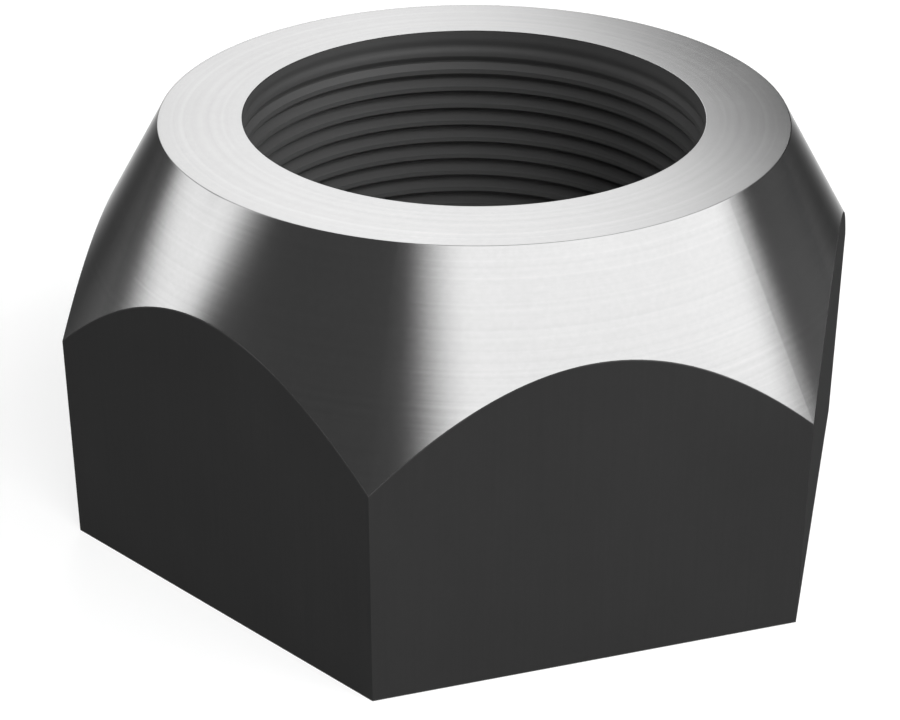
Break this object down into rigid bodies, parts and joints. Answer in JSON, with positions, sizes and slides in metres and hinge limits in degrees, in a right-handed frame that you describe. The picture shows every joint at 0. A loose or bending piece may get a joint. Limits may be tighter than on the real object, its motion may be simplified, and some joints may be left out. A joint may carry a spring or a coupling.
{
  "type": "tapered lock nut",
  "caption": "Hexagon lock nut with its upper half turned to a steep cone and a fine thread through its axis; it jams or locks a threaded part.",
  "frame": {"origin": "centre of the bearing face, on the thread's axis", "axes": "+Z along the thread's axis from the bearing face to the top face, +X through a corner of the hexagon"},
  "size_m": [0.0636, 0.055, 0.031],
  "materials": {
    "steel": "blackened steel, lightly oiled, with a fine turned grain"
  },
  "bodies": {
    "root": {"lock_nut": "steel"}
  },
  "joints": []
}
